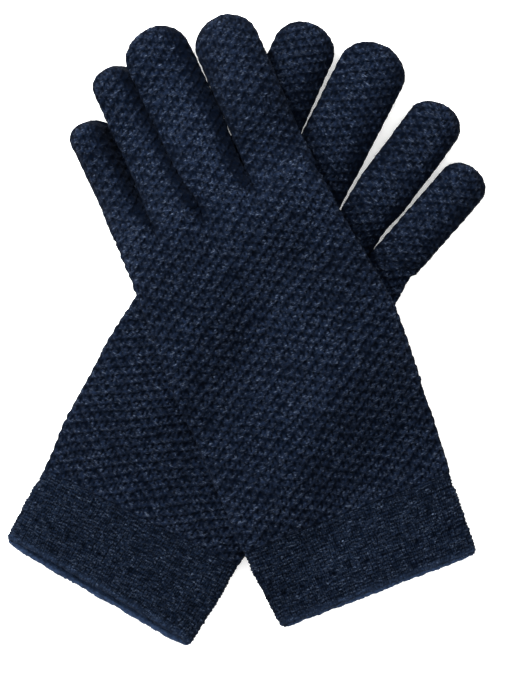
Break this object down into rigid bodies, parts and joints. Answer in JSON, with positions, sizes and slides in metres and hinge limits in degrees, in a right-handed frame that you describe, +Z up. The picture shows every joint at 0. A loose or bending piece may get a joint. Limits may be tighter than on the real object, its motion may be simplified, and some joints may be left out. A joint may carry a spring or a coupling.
{
  "type": "pair of knitted gloves",
  "caption": "Pair of moss-stitch knitted gloves with plain hemmed cuffs, lying crossed with their thumbs folded under the palms.",
  "frame": {"origin": "on the table under the middle of the crossed pair", "axes": "+X to the right of the pair, +Y from the cuffs towards the fingertips, +Z up from the table"},
  "size_m": [0.1895, 0.2534, 0.0369],
  "materials": {
    "hand_wool": "fuzzy woollen moss stitch",
    "cuff_wool": "fuzzy woollen plain stitch with eyelets"
  },
  "bodies": {
    "right_glove": {"right_cuff": "cuff_wool", "right_cuff_facing": "cuff_wool", "right_cuff_link": "cuff_wool", "right_hand": "hand_wool", "right_index_base": "hand_wool", "right_little_base": "hand_wool", "right_middle_base": "hand_wool", "right_ring_base": "hand_wool", "right_thumb_gusset": "hand_wool"},
    "right_index_body": {"right_index": "hand_wool"},
    "right_middle_body": {"right_middle": "hand_wool"},
    "right_ring_body": {"right_ring": "hand_wool"},
    "right_little_body": {"right_little": "hand_wool"},
    "right_thumb_body": {"right_thumb": "hand_wool"},
    "left_glove": {"left_cuff": "cuff_wool", "left_cuff_facing": "cuff_wool", "left_cuff_link": "cuff_wool", "left_hand": "hand_wool", "left_thumb_gusset": "hand_wool"},
    "left_index_body": {"left_index": "hand_wool"},
    "left_middle_body": {"left_middle": "hand_wool"},
    "left_ring_body": {"left_ring": "hand_wool"},
    "left_little_body": {"left_little": "hand_wool"},
    "left_thumb_body": {"left_thumb": "hand_wool"}
  },
  "joints": [
    {"name": "left_glove_lift", "type": "slide", "parent": "right_glove", "child": "left_glove", "axis": [0, 0, 1], "range_m": [0, 0.06]},
    {"name": "right_index_fold", "type": "hinge", "parent": "right_glove", "child": "right_index_body", "pos_m": [0.01936, 0.10242, 0.0121], "axis": [0.6704, -0.742, 0], "range_deg": [0, 75]},
    {"name": "right_middle_fold", "type": "hinge", "parent": "right_glove", "child": "right_middle_body", "pos_m": [0.03865, 0.0761, 0.0121], "axis": [0.8926, -0.4509, 0], "range_deg": [0, 75]},
    {"name": "right_ring_fold", "type": "hinge", "parent": "right_glove", "child": "right_ring_body", "pos_m": [0.0524, 0.04775, 0.0121], "axis": [0.809, -0.5878, 0], "range_deg": [0, 75]},
    {"name": "right_little_fold", "type": "hinge", "parent": "right_glove", "child": "right_little_body", "pos_m": [0.06276, 0.03031, 0.0118], "axis": [0.7443, -0.6678, 0], "range_deg": [0, 75]},
    {"name": "right_thumb_swing", "type": "hinge", "parent": "right_glove", "child": "right_thumb_body", "pos_m": [-0.05266, -0.00017, 0.00425], "axis": [0, 0, 1], "range_deg": [0, 20]},
    {"name": "left_index_fold", "type": "hinge", "parent": "left_glove", "child": "left_index_body", "pos_m": [0.01534, 0.06174, 0.02923], "axis": [0.9342, 0.3567, 0], "range_deg": [0, 80]},
    {"name": "left_middle_fold", "type": "hinge", "parent": "left_glove", "child": "left_middle_body", "pos_m": [-0.00783, 0.05289, 0.03145], "axis": [0.9342, 0.3567, 0], "range_deg": [0, 80]},
    {"name": "left_ring_fold", "type": "hinge", "parent": "left_glove", "child": "left_ring_body", "pos_m": [-0.03688, 0.04179, 0.02864], "axis": [0.8662, 0.3308, 0.3746], "range_deg": [0, 80]},
    {"name": "left_little_fold", "type": "hinge", "parent": "left_glove", "child": "left_little_body", "pos_m": [-0.05239, 0.03587, 0.02227], "axis": [0.7923, 0.3025, 0.5299], "range_deg": [0, 80]},
    {"name": "left_thumb_swing", "type": "hinge", "parent": "left_glove", "child": "left_thumb_body", "pos_m": [0.05792, -0.00015, 0.01551], "axis": [0, 0, -1], "range_deg": [0, 60]}
  ]
}
